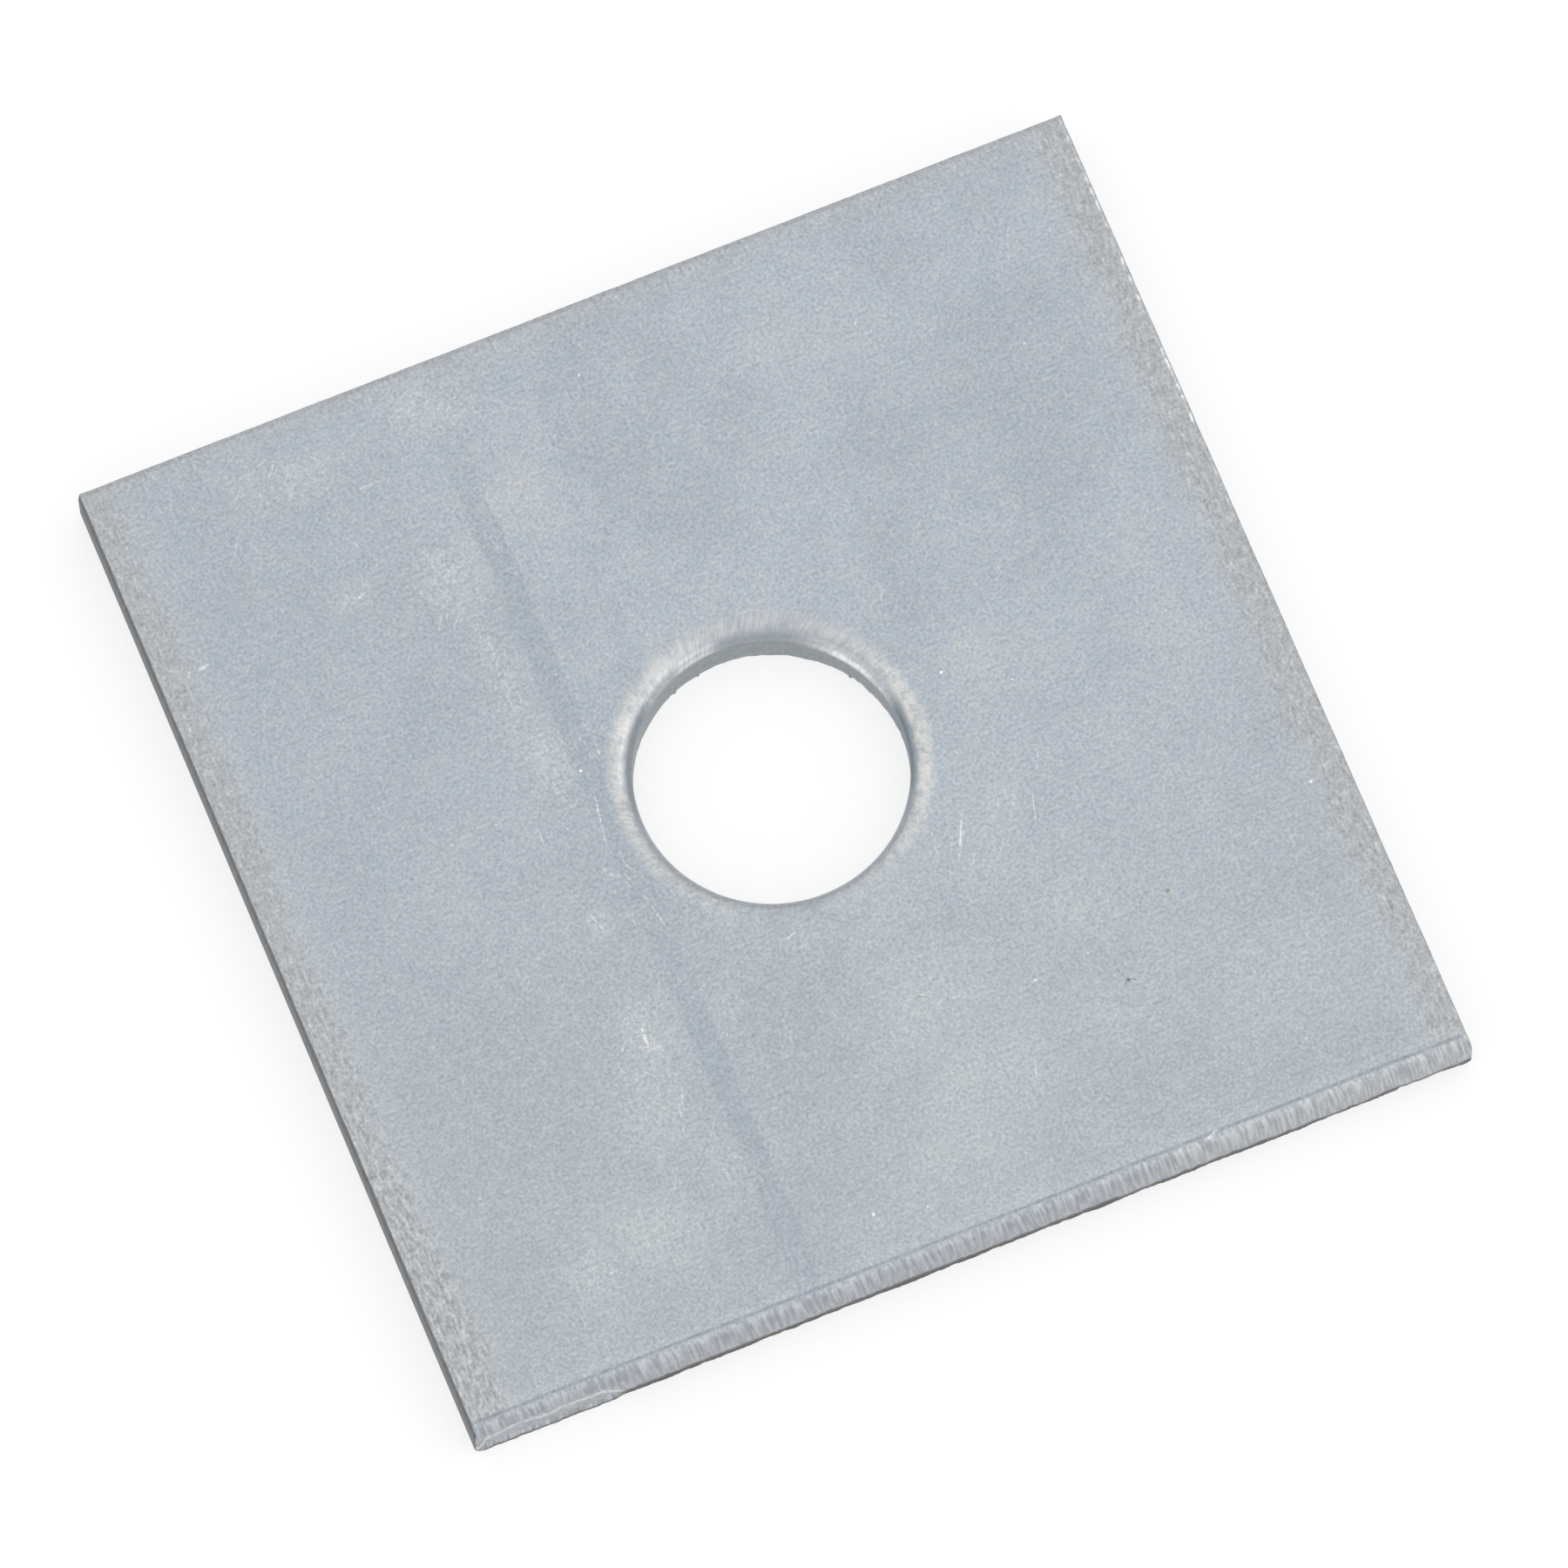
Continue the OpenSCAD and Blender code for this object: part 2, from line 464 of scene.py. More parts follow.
# Scuffed patches on the top face: place, half width, half length and strength. They fade out over a number of
# half sizes from their middle, and one factor holds for all their strengths
SCUFFS = (
    (-10.5, 14.2, 1.6, 2.0, 0.9), (-9.9, 9.0, 1.0, 3.2, 0.7), (-9.6, 4.3, 1.1, 2.4, 0.7),
    (-15.0, 15.1, 1.2, 0.7, 0.9), (-10.3, -4.2, 0.7, 1.2, 0.8), (-10.4, -10.0, 1.1, 1.9, 1.0),
    (-11.5, -13.5, 2.0, 3.0, 0.6), (-13.4, -19.2, 2.6, 1.8, 0.7), (-17.0, -19.8, 1.4, 1.9, 0.7),
    (-8.0, 22.8, 2.0, 1.6, 0.8), (-15.6, 21.7, 2.6, 1.3, 0.7), (10.7, -11.9, 2.6, 1.7, 0.6),
    (2.4, -13.4, 3.0, 1.8, 0.6), (10.9, -17.3, 2.2, 1.6, 0.6), (-9.2, -17.5, 1.3, 2.0, 0.6),
    (-1.8, -8.4, 1.4, 0.8, 0.6), (3.5, -18.5, 3.0, 2.2, 0.35), (17.5, -18.0, 3.5, 2.5, 0.35),
    (-7.4, 17.2, 0.6, 0.8, 0.7),
)
SCUFF_END = 1.55
SCUFF_FACTOR = 0.85

# Scratches on the top face that stand out: start, end, half width and brightness
SCRATCHES = (
    ((7.4, -5.4), (6.3, -7.7), 0.06, 0.8), ((7.15, -6.2), (6.5, -7.5), 0.04, 0.6),
    ((10.8, -5.7), (10.3, -7.5), 0.045, 0.55), ((-7.1, 4.7), (-7.3, 2.6), 0.045, 0.65),
    ((-7.5, 5.6), (-6.9, 4.6), 0.04, 0.55), ((-8.1, 2.2), (-8.6, -0.9), 0.05, 0.6),
    ((-7.9, -3.4), (-7.5, -5.5), 0.05, 0.5), ((-2.7, -8.2), (-1.9, -7.9), 0.05, 0.8),
    ((-23.05, 14.6), (-22.35, 14.72), 0.13, 0.7), ((-23.62, 14.4), (-23.3, 14.85), 0.06, 0.45),
    ((-10.4, -9.5), (-10.5, -10.7), 0.1, 0.95), ((-10.0, -9.9), (-10.3, -10.9), 0.05, 0.7),
    ((-14.9, 15.0), (-14.3, 15.3), 0.08, 0.7), ((-10.6, -3.4), (-10.2, -4.6), 0.06, 0.7),
    ((-10.2, -13.6), (-10.6, -15.4), 0.04, 0.5), ((5.9, -17.9), (5.6, -18.9), 0.05, 0.6),
)

# Dark hairs beside the dark speck, and a faint one below the hole: start, end, half width and bend
HAIRS = (
    ((11.35, -15.9), (11.15, -14.9), 0.03, 0.12), ((11.4, -16.0), (11.8, -16.3), 0.035, 0.05),
    ((11.4, -16.0), (11.1, -16.35), 0.035, -0.05), ((1.5, -13.2), (2.6, -13.5), 0.03, 0.25),
)
HAIR_STRENGTH = 0.7

# Flecks on the top face: place, radius, strength and mask
FLECKS = (
    (11.4, -16.02, 0.13, 0.9, "dark"), (14.75, -12.7, 0.15, 0.8, "brown"),
    (14.7, -12.45, 0.08, 0.6, "brown"), (-8.3, 3.2, 0.09, 1.0, "bright"),
    (9.1, 1.3, 0.12, 0.9, "bright"), (9.35, 1.95, 0.08, 0.8, "bright"),
    (7.4, -14.4, 0.1, 0.6, "bright"), (-3.9, -22.1, 0.11, 0.8, "bright"),
    (23.0, -10.3, 0.12, 0.7, "bright"),
)

# Places with many faint scratches: place, spread, number, angle and its spread in degrees, brightness
RUBBED = (
    (-8.6, 0.5, 0.9, 4.5, 36, 100, 18, 0.4), (8.8, -6.8, 1.8, 1.8, 14, 65, 12, 0.45),
    (0.0, -10.5, 5.0, 1.6, 18, 50, 25, 0.35), (-10.5, 13.5, 1.5, 2.5, 14, 80, 20, 0.4),
    (-11.0, -11.5, 1.5, 3.0, 16, 85, 20, 0.45), (-16.0, 21.0, 3.5, 1.5, 10, 20, 20, 0.4),
    (0.0, 0.0, 16.0, 16.0, 70, 75, 55, 0.28),
)
LOOSE_FLECKS = 60
SCRATCH_STEP = 0.2
SCRATCH_D = 0.004
FLECK_SIDES = 7
FLECK_D = 0.003

# Painted highlights in the hole: start and end angle in degrees, start and end distance down from the roll's
# start, and strength
HOLE_HIGHLIGHTS = (
    (2, 62, 0.66, 1.8, 0.6), (16, 50, 0.8, 1.8, 1.0), (88, 116, 0.64, 1.45, 0.7),
    (104, 136, 0.45, 1.4, 0.35), (128, 176, 0.3, 0.66, 0.35),
)

# Painted shade in the hole at its right and its left, and a faint painted shade line under the roll at its
# rear: the angle of the middle, how far it reaches, and how far it is full, in degrees from +X towards +Y
SHADE_RIGHT = (-12, 32, 10)
SHADE_LEFT = (152, 38, 12)
REAR_SHADE_LINE = (70, 30, 15)

# Polished ring round the hole: radii over which it rises and falls, and its strength by the angle in degrees
RING_RISE = (6.72, 6.98)
RING_FALL = (7.9, 7.06)
RING_ANGLE = (-180, -160, -130, -95, -60, -30, 15, 32, 48, 60, 85, 100, 120, 150, 180)
RING_STRENGTH = (0.85, 0.55, 0.35, 0.05, 0.6, 1.0, 1.0, 0.5, 0.25, 0.05, 0.0, 0.4, 0.8, 1.0, 0.85)

# Radii over which the drawn strokes at the hole's rear run out on the top face
DRAWN_R = (7.95, 7.45)

# Angles in degrees of the nubs that the fracture left at the hole's bottom rim, and their half width
NUBS = (34, 100, 112, 160, 215, 268, 322)
NUB_W = 0.9


def degrees_from(angle, middle):
    """How far angles in radians lie past one in degrees, from -180 to 180."""
    return (np.degrees(angle) - middle + 180) % 360 - 180


def near_angle(angle, middle, reach, full):
    """1 up to full degrees away from an angle in degrees, and 0 from reach degrees away."""
    return smooth(reach, full, np.abs(degrees_from(angle, middle)))


def around(angle, knots, seed):
    """A smooth random line round the hole, from -1 to 1, with a number of knots."""
    return wander(angle / (2 * math.pi) * knots, seed, knots)


def hole_band():
    """The hole's wall, in rings from the top face over the rolled rim and down to the bottom face."""
    angle = np.arange(HOLE_STEPS) * 2 * math.pi / HOLE_STEPS
    turn = np.linspace(0, HOLE_ROLL_ANGLE, HOLE_ROLL_STEPS)
    roll_r = HOLE_R + HOLE_ROLL_W - HOLE_ROLL_R * np.sin(turn)
    roll_z = THICK - HOLE_ROLL_R * (1 - np.cos(turn))
    land_z = np.concatenate([roll_z[-1] - [0.12, 0.28], np.linspace(roll_z[-1] - 0.5, HOLE_BREAK_H, 4)])
    break_z = np.linspace(HOLE_BREAK_H, 0, 7)[1:]
    wall_count = len(land_z) + len(break_z)
    foot_r = np.array([HOLE_R + HOLE_BREAK_OUT + 0.4, HOLE_RINGS[-1], HOLE_RIM_R])
    plan_r = np.concatenate([HOLE_RINGS, roll_r, np.full(wall_count, HOLE_R), foot_r])
    roll = slice(len(HOLE_RINGS), len(HOLE_RINGS) + HOLE_ROLL_STEPS)
    plan_z = np.concatenate([np.full(roll.start, THICK), roll_z, land_z, break_z, np.zeros(len(foot_r))])
    wall = slice(roll.stop, roll.stop + wall_count)
    all_turn = np.zeros(len(plan_r))
    all_turn[roll] = turn
    radius = np.repeat(plan_r[:, None], HOLE_STEPS, axis=1)
    height = np.repeat(plan_z[:, None], HOLE_STEPS, axis=1)

    # Furrows that the punch drew down the roll
    through = np.sin(all_turn) / math.sin(HOLE_ROLL_ANGLE)
    strength = smooth(0.1, 0.4, through) * (1 - 0.6 * smooth(0.85, 1, through))
    furrow = 0.5 + 0.25 * around(angle, 150, 51) + 0.15 * around(angle, 320, 52)
    furrow += 0.1 * around(angle, 40, 53)
    depth = HOLE_STRIA_D * strength[:, None] * furrow
    radius += depth * np.sin(all_turn)[:, None]
    height -= depth * np.cos(all_turn)[:, None]

    # The fracture opens downward by an uneven amount, and the nubs stay at the bore's radius
    share = np.clip(1 - height[wall] / HOLE_BREAK_H, 0, 1)
    opening = HOLE_BREAK_OUT * (0.75 + 0.25 * around(angle, 60, 54) + 0.15 * around(angle, 180, 55))
    for nub in NUBS:
        opening *= smooth(0.2 * NUB_W, NUB_W, np.abs(degrees_from(angle, nub)))
    edge = 1 + 0.3 * around(angle, 70, 56) + 0.2 * around(angle, 200, 57)
    radius[wall] += opening * np.clip(share * edge, 0, 1)
    radius[wall] += LAND_STRIA_D * (1 + around(angle, 210, 58)) / 2

    x = radius * np.cos(angle)
    y = radius * np.sin(angle)
    height[:roll.stop] -= field_drop(x[:roll.stop], y[:roll.stop])
    band = Ringed(np.stack([x, y, height], axis=2))
    band.masks["land"][wall] = 1
    band.masks["fracture"][wall] = 0.12 * smooth(0, 0.1, share)
    down = HOLE_ROLL_R * all_turn
    down[roll.stop:] = HOLE_ROLL_R * HOLE_ROLL_ANGLE + roll_z[-1] - plan_z[roll.stop:]
    mark_hole(band, angle, plan_r, down, through, roll.stop, wall.stop)
    return band


def mark_hole(band, angle, plan_r, down, through, roll_end, wall_end):
    """Streaks down the hole's roll and wall, and the masks of its rim, its painted shade and its painted
    highlights.
    """
    run = (down - np.maximum(plan_r - HOLE_RINGS[-1], 0))[:, None]
    turned = angle - HOLE_LEAN * np.minimum(run, HOLE_ROLL_R * HOLE_ROLL_ANGLE)
    band.flow = np.stack([np.cos(turned), np.sin(turned), run + 0 * turned], axis=2) * HOLE_FLOW

    # Strokes drawn in the roll, which are clearest at the rear, where they run out on the top face
    at_rear = 0.25 + 0.75 * smooth(-0.85, -0.1, np.sin(angle))
    run_out = smooth(*DRAWN_R, plan_r)[:, None] * smooth(0.3, 0.8, np.sin(angle))
    drawn = np.maximum(smooth(0, 0.12, through)[:, None], run_out)
    band.masks["hole_roll"][:roll_end] = (drawn * at_rear)[:roll_end]
    band.masks["burnish"][:roll_end] = burnish(*band.place[:roll_end, :, :2].transpose(2, 0, 1))

    # Painted shade at the foot of the roll, deeper at the right and the left, and a painted shade line under
    # it at the rear
    band.masks["rim_shade"][:roll_end] = smooth(0.5, 0.8, through[:roll_end])[:, None]
    right_shade = smooth(0.8, 1.2, down)[:, None] * near_angle(angle, *SHADE_RIGHT)
    left_shade = smooth(0.7, 0.95, down) * smooth(1.5, 1.2, down)
    left_shade = 0.5 * left_shade[:, None] * near_angle(angle, *SHADE_LEFT)
    band.masks["rim_deep"][:wall_end] = np.maximum(right_shade, left_shade)[:wall_end]
    land_top = smooth(1.25, 1.38, down) * smooth(1.75, 1.5, down)
    band.masks["line"] = 0.16 * land_top[:, None] * near_angle(angle, *REAR_SHADE_LINE)

    for start, end, low, high, strength in HOLE_HIGHLIGHTS:
        reach = (end - start) / 2
        at_angle = near_angle(angle, start + reach, reach, 0.4 * reach)
        at_depth = smooth(low, 0.7 * low + 0.3 * high, down) * smooth(high, 0.3 * low + 0.7 * high, down)
        gleam = strength * at_depth[:, None] * at_angle * (0.9 + 0.1 * around(angle, 300, 59))
        band.masks["gleam"] = np.maximum(band.masks["gleam"], gleam)


def burnish(x, y):
    """How much the punch has polished the hole's rim, as a soft and uneven ring."""
    r = np.hypot(x, y)
    angle = np.degrees(np.arctan2(y, x))
    uneven = 0.07 * wander(angle / 4 + 100, 81) + 0.05 * wander(angle / 1.3 + 400, 82)
    ring = smooth(*RING_FALL, r + uneven) * smooth(*RING_RISE, r + 0.5 * uneven)
    return ring * np.interp(angle, RING_ANGLE, RING_STRENGTH)


def scuffs(x, y):
    """How scuffed the top face is, from 0 to 1."""
    most = np.zeros_like(x)
    for at_x, at_y, wide, long, strength in SCUFFS:
        away = np.hypot((x - at_x) / wide, (y - at_y) / long)
        most = np.maximum(most, SCUFF_FACTOR * strength * smooth(SCUFF_END, 0.0, away))
    return most


def near_line(x, y, start, end, width):
    """1 on a straight line and 0 from a distance away from it."""
    way = np.subtract(end, start)
    share = np.clip(((x - start[0]) * way[0] + (y - start[1]) * way[1]) / (way @ way), 0, 1)
    away = np.hypot(x - start[0] - share * way[0], y - start[1] - share * way[1])
    return smooth(width, 0.3 * width, away)


class Marks:
    """Points of the small marks on the top face, each with the masks' values and a depth."""

    def __init__(self):
        self.points = []
        self.values = {name: [] for name in ("bright", "dark", "brown")}
        self.depth = []

    def put(self, points, mask, value, depth):
        self.points.append(points)
        for name, values in self.values.items():
            values.append(value if name == mask else np.zeros(len(points)))
        self.depth.append(depth * value)

    def scratch(self, start, end, width, strength, bend=0.0, mask="bright"):
        """A tapering line of points with a line of unmarked points on both sides."""
        start, way = np.array(start), np.subtract(end, start)
        length = np.hypot(*way)
        across = np.array([-way[1], way[0]]) / length
        share = np.linspace(0, 1, max(4, int(length / SCRATCH_STEP) + 1))
        middle = start + np.outer(share, way) + np.outer(bend * np.sin(math.pi * share), across)
        taper = strength * np.sqrt(np.sin(math.pi * share).clip(0))
        inner = middle[1:-1]
        points = np.concatenate([middle, inner + width * across, inner - width * across])
        value = np.concatenate([taper, np.zeros(2 * len(inner))])
        self.put(points, mask, value, SCRATCH_D)

    def fleck(self, x, y, radius, strength, mask, random):
        """An uneven spot: points on it and a ring of unmarked points round it."""
        angle = np.arange(FLECK_SIDES) * 2 * math.pi / FLECK_SIDES
        uneven = radius * random.uniform(0.65, 1.2, FLECK_SIDES)
        ring = np.stack([np.cos(angle), np.sin(angle)], axis=1) * uneven[:, None]
        points = np.concatenate([[(0, 0)], 0.55 * ring, ring]) + (x, y)
        value = np.concatenate([np.full(1 + FLECK_SIDES, strength), np.zeros(FLECK_SIDES)])
        self.put(points, mask, value, FLECK_D)


def make_marks():
    """All scratches and flecks of the top face: those that stand out, then many faint ones."""
    random = np.random.RandomState(71)
    marks = Marks()
    for start, end, width, strength in SCRATCHES:
        marks.scratch(start, end, width, strength)
    for start, end, width, bend in HAIRS:
        marks.scratch(start, end, width, HAIR_STRENGTH, bend, "dark")
    for x, y, radius, strength, mask in FLECKS:
        marks.fleck(x, y, radius, strength, mask, random)
    for x, y, spread_x, spread_y, number, lean, turn, strength in RUBBED:
        for _ in range(number):
            middle = np.array([random.normal(x, spread_x), random.normal(y, spread_y)])
            angle = math.radians(random.normal(lean, turn))
            reach = random.uniform(0.15, 0.9) * np.array([math.cos(angle), math.sin(angle)])
            width = random.uniform(0.035, 0.06)
            bright = strength * random.uniform(0.4, 1)
            marks.scratch(middle - reach, middle + reach, width, bright, random.uniform(-0.06, 0.06))
    for _ in range(LOOSE_FLECKS):
        x, y = random.uniform(-HALF, HALF, 2)
        marks.fleck(x, y, random.uniform(0.05, 0.11), random.uniform(0.2, 0.6), "bright", random)
    return marks


def loose_grid(reach, spacing, seed):
    """Points of a square grid, each moved a little at random."""
    line = np.arange(-reach, reach, spacing)
    grid = np.stack(np.meshgrid(line, line), axis=2).reshape(-1, 2)
    shift = np.random.RandomState(seed).uniform(-GRID_SHIFT, GRID_SHIFT, grid.shape)
    return grid + shift * spacing


def is_between(points, gap):
    """Which points lie between the ringed zones of the sides and of the hole."""
    clear_of_hole = np.hypot(points[:, 0], points[:, 1]) > HOLE_RIM_R + gap
    return clear_of_hole & (np.abs(points).max(axis=1) < HALF - RIM_W - gap)


def fill(outer, inner, added):
    """Triangles between a square loop and a round one, over their points and others that lie between them.

    The triangles count the outer loop's points first, then the inner loop's and then the added ones."""
    points = np.concatenate([outer, inner, added])
    first, second = len(outer), len(inner)
    ring = [(i, (i + 1) % first) for i in range(first)]
    ring += [(first + i, first + (i + 1) % second) for i in range(second)]
    found = delaunay_2d_cdt([Vector(p) for p in points], ring, [], 0, 1e-7)
    came_from = [origin[0] for origin in found[3]]
    faces = np.array([[came_from[i] for i in face] for face in found[2]])
    middle = points[faces].mean(axis=1)
    inside = np.hypot(*inner[0]) * math.cos(math.pi / second)
    faces = faces[np.hypot(middle[:, 0], middle[:, 1]) > inside]
    a, b, c = (points[faces[:, i]] for i in range(3))
    turned = (b - a)[:, 0] * (c - a)[:, 1] - (b - a)[:, 1] * (c - a)[:, 0] < 0
    faces[turned] = faces[turned][:, ::-1]
    return faces


def ring_faces(start, rings, count, flip):
    """Four-sided faces between neighbouring rings of a band whose points start at an index."""
    at = start + np.arange(rings * count).reshape(rings, count)
    after = np.roll(at, -1, axis=1)
    faces = np.stack([at[:-1], at[1:], after[1:], after[:-1]], axis=2).reshape(-1, 4)
    return faces[:, ::-1] if flip else faces


def plain_points():
    """Unmarked points of the top face: a loose grid, and rows along the pressed band's edges."""
    along = np.arange(-HALF, HALF, TOP_SPACING)
    rows = [np.stack([np.full_like(along, at), along], axis=1) for at in BAND_LINES]
    points = np.concatenate([loose_grid(HALF, TOP_SPACING, 61), *rows])
    return points[is_between(points, GRID_GAP * TOP_SPACING)]


def plate_faces(outer, hole, added, starts):
    """Faces of the whole plate: those of the two bands, then the filled top and bottom.

    starts has the first point's number for the bands and for the points added on the top and the bottom."""
    rings, count = outer.shape[:2]
    hole_rings, hole_count = hole.shape[:2]
    faces = ring_faces(starts[0], rings, count, False).tolist()
    faces += ring_faces(starts[1], hole_rings, hole_count, True).tolist()
    for ring, between, start in zip((0, -1), added, starts[2:]):
        number = np.concatenate([
            starts[0] + ring % rings * count + np.arange(count),
            starts[1] + ring % hole_rings * hole_count + np.arange(hole_count),
            start + np.arange(len(between)),
        ])
        filled = number[fill(outer[ring, :, :2], hole[ring, :, :2], between)]
        faces += (filled if ring == 0 else filled[:, ::-1]).tolist()
    return faces


def make_plate():
    """The whole plate as one closed mesh, with point masks for the material."""
    bands = (outer_band(), hole_band())
    marks = make_marks()
    plain = plain_points()
    marked = np.concatenate(marks.points)
    kept = is_between(marked, MARK_GAP)
    top_added = np.concatenate([plain, marked[kept]])
    sunk = np.concatenate([np.zeros(len(plain)), np.concatenate(marks.depth)[kept]])
    top_z = THICK - field_drop(*top_added.T) - sunk
    low_added = loose_grid(HALF, BOTTOM_SPACING, 62)
    low_added = low_added[is_between(low_added, GRID_GAP * BOTTOM_SPACING)]
    flat = [band.place.reshape(-1, 3) for band in bands]
    flat.append(np.column_stack([top_added, top_z]))
    flat.append(np.column_stack([low_added, np.zeros(len(low_added))]))
    starts = np.cumsum([0] + [len(part) for part in flat])
    points = np.concatenate(flat)

    mesh = bpy.data.meshes.new("zinc_plate_washer")
    faces = plate_faces(bands[0].place, bands[1].place, (top_added, low_added), starts)
    mesh.from_pydata((points * MM).tolist(), [], faces)
    mesh.validate()
    masks = {name: np.zeros(len(points)) for name in MASKS}
    for name, values in masks.items():
        values[:starts[2]] = np.concatenate([band.masks[name].ravel() for band in bands])
    for name, values in marks.values.items():
        masks[name][starts[2] + len(plain):starts[3]] = np.concatenate(values)[kept]
    on_top = points[:, 2] > THICK - ROLL_D
    masks["scuff"][on_top] = scuffs(*points[on_top, :2].T)
    masks["pressed"][on_top] = in_band(*points[on_top, :2].T)
    masks["burnish"][starts[2]:starts[3]] = burnish(*top_added.T)
    for name, values in masks.items():
        layer = mesh.attributes.new(name, "FLOAT", "POINT")
        layer.data.foreach_set("value", values.astype(np.float32))
    flow = np.concatenate([band.flow.reshape(-1, 3) for band in bands] + [points[starts[2]:] * FIELD_FLOW])
    layer = mesh.attributes.new("flow", "FLOAT_VECTOR", "POINT")
    layer.data.foreach_set("vector", flow.astype(np.float32).ravel())
    mesh.shade_smooth()
    mesh.set_sharp_from_angle(angle=SHARP_ANGLE)
    plate = bpy.data.objects.new("zinc_plate_washer", mesh)
    bpy.context.scene.collection.objects.link(plate)
    return plate


# Numbers of a mix node's sockets for colours
MIX_FIRST = 6
MIX_SECOND = 7
MIX_RESULT = 2


class Tree:
    """Short calls that add shader nodes and join them."""

    def __init__(self, owner):
        owner.use_nodes = True
        self.nodes = owner.node_tree.nodes
        self.links = owner.node_tree.links
        self.nodes.clear()

    def put(self, socket, value):
        if isinstance(value, bpy.types.NodeSocket):
            self.links.new(value, socket)
        else:
            socket.default_value = value

    def add(self, kind, *values, **settings):
        """A new node with settings, and with values or other nodes' outputs for its first inputs."""
        node = self.nodes.new(kind)
        for name, value in settings.items():
            setattr(node, name, value)
        for socket, value in zip(node.inputs, values):
            self.put(socket, value)
        return node

    def math(self, operation, first, *rest):
        """Joins values by the same operation, one after the other."""
        for value in rest:
            first = self.add("ShaderNodeMath", first, value, operation=operation).outputs[0]
        return first

    def total(self, *values):
        return self.math("ADD", *values)

    def product(self, *values):
        return self.math("MULTIPLY", *values)

    def most(self, *values):
        return self.math("MAXIMUM", *values)

    def from_half(self, value):
        """How far a noise is above its middle value."""
        return self.math("SUBTRACT", value, 0.5)

    def scaled(self, vector, factor):
        node = self.add("ShaderNodeVectorMath", vector, operation="SCALE")
        self.put(node.inputs["Scale"], factor)
        return node.outputs["Vector"]

    def length(self, vector):
        return self.add("ShaderNodeVectorMath", vector, operation="LENGTH").outputs["Value"]

    def step(self, value, start, end, low=0.0, high=1.0):
        """low up to start and high from end, with a smooth change between them."""
        limits = (start, end, low, high)
        return self.add("ShaderNodeMapRange", value, *limits, interpolation_type="SMOOTHSTEP").outputs[0]

    def noise(self, vector, scale, detail, roughness):
        node = self.add("ShaderNodeTexNoise", vector)
        for name, value in (("Scale", scale), ("Detail", detail), ("Roughness", roughness)):
            node.inputs[name].default_value = value
        return node.outputs[0]

    def blend(self, factor, first, second, mode="MIX"):
        """Mixes two colours, which this kind of node takes and gives by sockets of their own."""
        node = self.add("ShaderNodeMix", factor, data_type="RGBA", blend_type=mode)
        self.put(node.inputs[MIX_FIRST], first)
        self.put(node.inputs[MIX_SECOND], second)
        return node.outputs[MIX_RESULT]


def colour(red, green, blue):
    """A colour that is written as it shows, from 0 to 255, as the linear one that shaders take."""
    shown = np.array([red, green, blue]) / 255
    linear = np.where(shown <= 0.04045, shown / 12.92, ((shown + 0.055) / 1.055) ** 2.4)
    return (*linear.tolist(), 1.0)


# Colours of the plating, as they show
ZINC = colour(178, 186, 194)
ZINC_PALE = colour(188, 193, 196)
ZINC_DULL = colour(171, 179, 187)
ZINC_WARM = colour(184, 185, 182)
PRESSED = colour(167, 175, 183)
EDGE_WARM = colour(184, 187, 190)
EDGE_DARK = colour(164, 165, 167)
EDGE_DEEP = colour(148, 147, 146)
# Painted shade in the crease along the front edge
CREASE_SHADE = colour(150, 157, 167)
CUT = colour(182, 187, 195)
CUT_DARK = colour(157, 162, 170)
FRONT_LAND = colour(190, 194, 199)
FRONT_LAND_DARK = colour(160, 164, 170)
RIM = colour(192, 195, 198)
RIM_DARK = colour(169, 174, 180)
# Painted shade in the hole's roll, and deeper painted shade at its right and its left
RIM_SHADE = colour(172, 178, 184)
RIM_DEEP_SHADE = colour(130, 140, 148)
BORE_LAND = colour(150, 157, 160)
SLIT_WALL = colour(164, 168, 172)
SLIT_DARK = colour(138, 142, 147)
# Painted shade of the left wall
LEFT_WALL_SHADE = colour(114, 116, 118)
LEFT_WALL_DEEP_SHADE = colour(94, 96, 98)
# Colour of the painted shade lines along sharp edges and under the hole's roll
SHADE_LINE = colour(120, 113, 107)
# Dark of the fractures: partly their own rough tone, partly painted shade where they face down
FRACTURE_TONE_AND_SHADE = colour(98, 95, 92)
FACET = colour(204, 208, 212)
FACET_DARK = colour(160, 165, 171)
# Pale colour of scuffs and streaks, also used for the painted highlight behind the crease
SCUFF_AND_HIGHLIGHT = colour(208, 210, 208)
BURNISHED = colour(219, 219, 216)
# White of bright scratches and flecks, and also of the painted highlight on the front lip and the painted
# glints on the right edge
BRIGHT_MARK_AND_GLINT = colour(240, 242, 242)
# White of the painted highlights in the hole
PAINTED_HIGHLIGHT = colour(252, 253, 255)
DARK = colour(105, 106, 103)
BROWN = colour(158, 140, 108)

# Grain of the plating: how much its crumbs change the tone, its depth, and the streaks' depth at the cuts
CRUMB_TONE = 0.26
GRAIN_D = 0.008
SLIT_STREAK_D = 0.012
FRONT_STREAK_D = 0.012
HOLE_STREAK_D = 0.006
BREAK_STREAK_D = 0.02

# Shine of the plating
METALLIC = 0.8
ROUGHNESS = 0.42

# The left wall's painted shade shows at the second of these distances from the left side, and not at the first
LEFT_SHADE_REACH = (0.4, 0.2)

# Distances from the origin at which the colour of the hole's land is gone and full
BORE_REACH = (12.0, 10.0)


